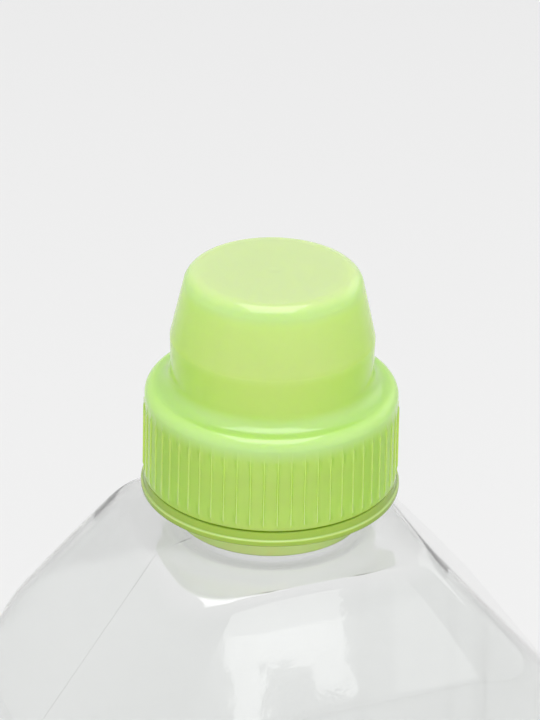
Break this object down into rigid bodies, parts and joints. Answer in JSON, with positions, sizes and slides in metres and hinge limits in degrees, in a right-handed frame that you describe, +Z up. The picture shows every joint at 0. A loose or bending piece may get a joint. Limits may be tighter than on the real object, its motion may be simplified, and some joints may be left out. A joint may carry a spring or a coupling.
{
  "type": "laundry detergent bottle",
  "caption": "Clear rectangular detergent bottle with sloped shoulders, a press-on pouring spout with drip gutter, and a ribbed green screw cap whose dome is the dosing cup.",
  "frame": {"origin": "on the ground, under the middle of the bottle", "axes": "+Z up along the neck, X along the wide side, front faces -Y, the spout's lip is at the front"},
  "size_m": [0.116, 0.073, 0.2447],
  "materials": {
    "clear_pet": "gloss, very slightly hazy",
    "green_pp": "satin gloss, translucent"
  },
  "bodies": {
    "bottle": {"bottle": "clear_pet", "pour_spout": "green_pp"},
    "cap": {"cap": "green_pp"}
  },
  "joints": [
    {"name": "cap_lift", "type": "slide", "parent": "bottle", "child": "cap", "axis": [0, 0, 1], "range_m": [0, 0.06]}
  ]
}
